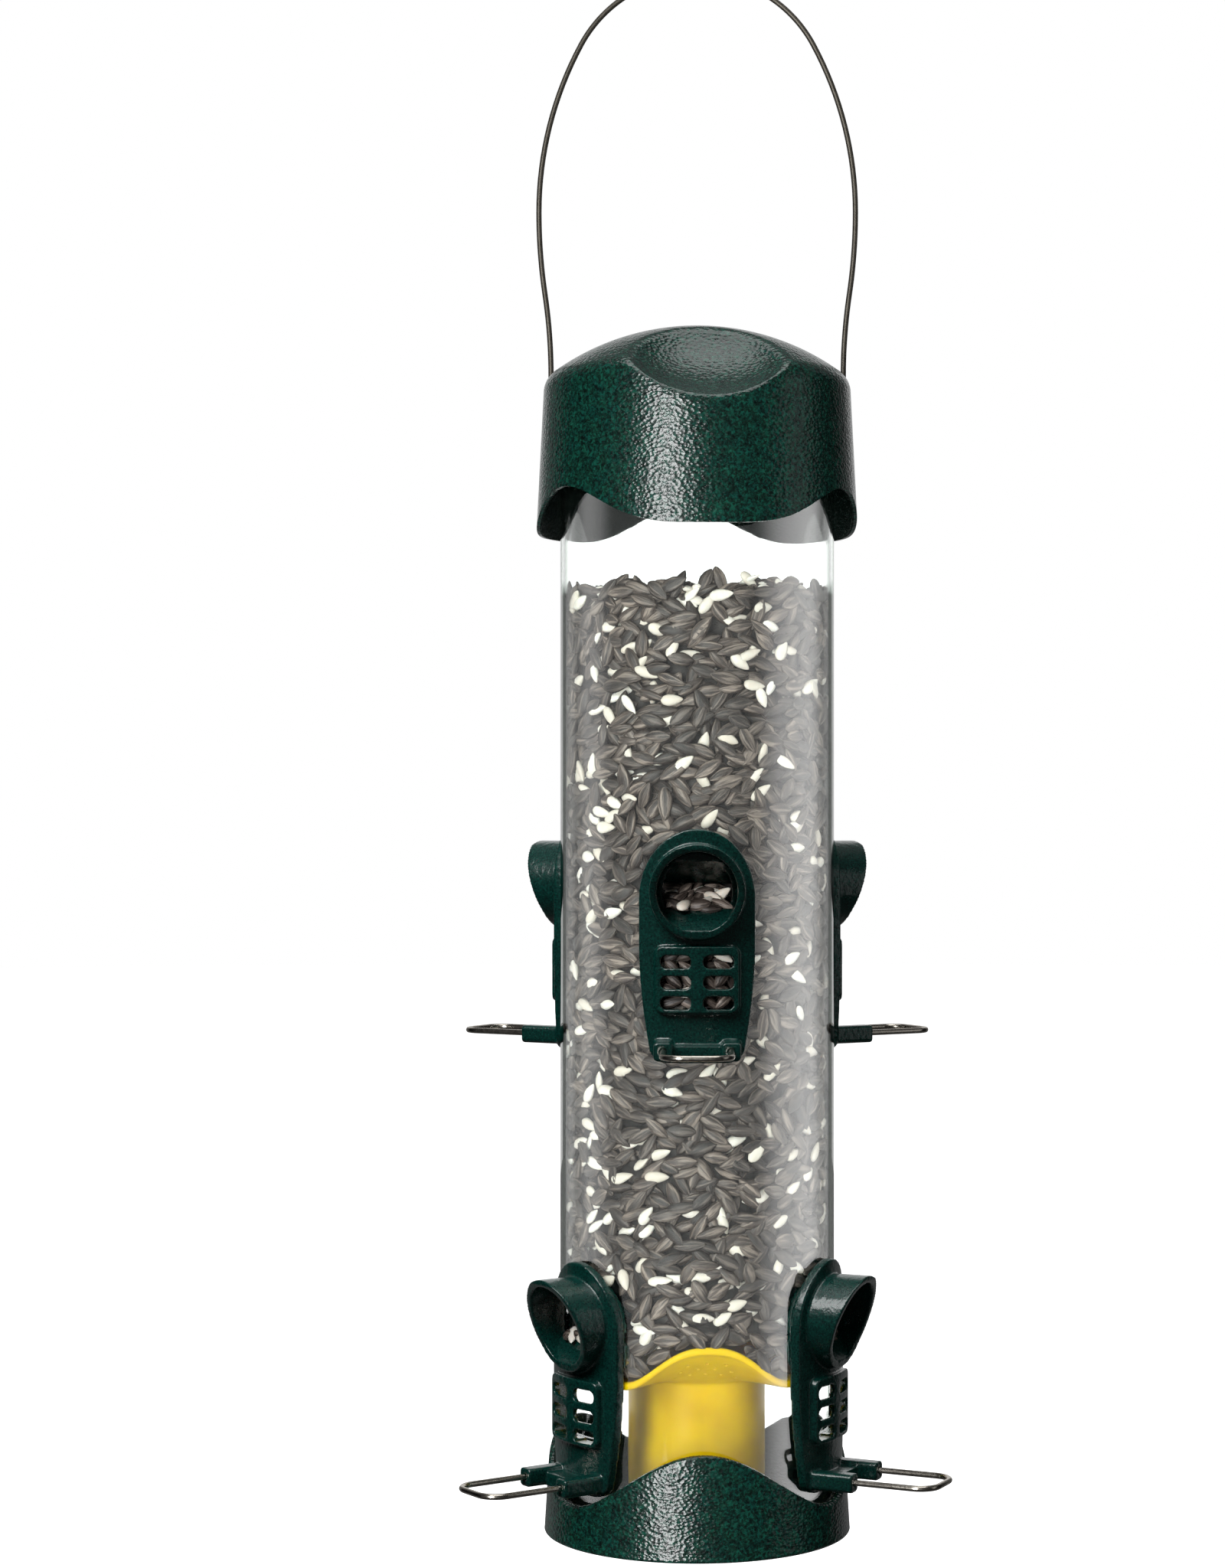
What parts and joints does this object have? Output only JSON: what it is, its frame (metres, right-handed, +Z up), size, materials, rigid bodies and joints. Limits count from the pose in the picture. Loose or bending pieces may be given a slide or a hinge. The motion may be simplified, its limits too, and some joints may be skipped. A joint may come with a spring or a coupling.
{
  "type": "hanging bird feeder",
  "caption": "Clear tube seed feeder with cast scalloped cap and base, hooded feeding ports, wire perches, wavy seed baffle and wire hanger.",
  "frame": {"origin": "centre of the base's underside, on the tube's axis", "axes": "+Z up along the tube, -Y towards the front, +X to the right; the hanger wire lies in the XZ plane"},
  "size_m": [0.181, 0.1973, 0.578],
  "materials": {
    "cast_green": "hammertone enamel, glossy",
    "clear_tube": "clear polycarbonate, glossy",
    "yellow_plastic": "satin, slightly translucent",
    "perch_wire": "bright drawn wire",
    "hanger_wire": "dull brown coated wire",
    "fastener_steel": "satin",
    "seed": "matt seed hulls with pale kernels"
  },
  "bodies": {
    "feeder": {"tube": "clear_tube", "hanger": "hanger_wire", "seed_fill": "seed", "port_screws": "fastener_steel", "port_upper_front": "cast_green", "port_upper_left": "cast_green", "port_upper_right": "cast_green", "port_lower_left": "cast_green", "port_lower_right": "cast_green", "port_lower_rear": "cast_green", "perch_upper_front": "perch_wire", "perch_upper_left": "perch_wire", "perch_upper_right": "perch_wire", "perch_lower_left": "perch_wire", "perch_lower_right": "perch_wire", "perch_lower_rear": "perch_wire", "shield_upper_front": "cast_green", "shield_upper_left": "cast_green", "shield_upper_right": "cast_green", "shield_lower_left": "cast_green", "shield_lower_right": "cast_green", "shield_lower_rear": "cast_green"},
    "lid": {"cap": "cast_green"},
    "baffle": {"seed_baffle": "yellow_plastic", "base_screw": "fastener_steel", "base_washer": "fastener_steel"},
    "foot": {"base": "cast_green"}
  },
  "joints": [
    {"name": "cap_lift", "type": "slide", "parent": "feeder", "child": "lid", "axis": [0, 0, 1], "range_m": [0, 0.06]},
    {"name": "base_drop", "type": "slide", "parent": "feeder", "child": "baffle", "axis": [0, 0, -1], "range_m": [0, 0.09]},
    {"name": "base_twist", "type": "hinge", "parent": "baffle", "child": "foot", "pos_m": [0, 0, 0.01], "axis": [0, 0, 1], "range_deg": [0, 5]}
  ]
}
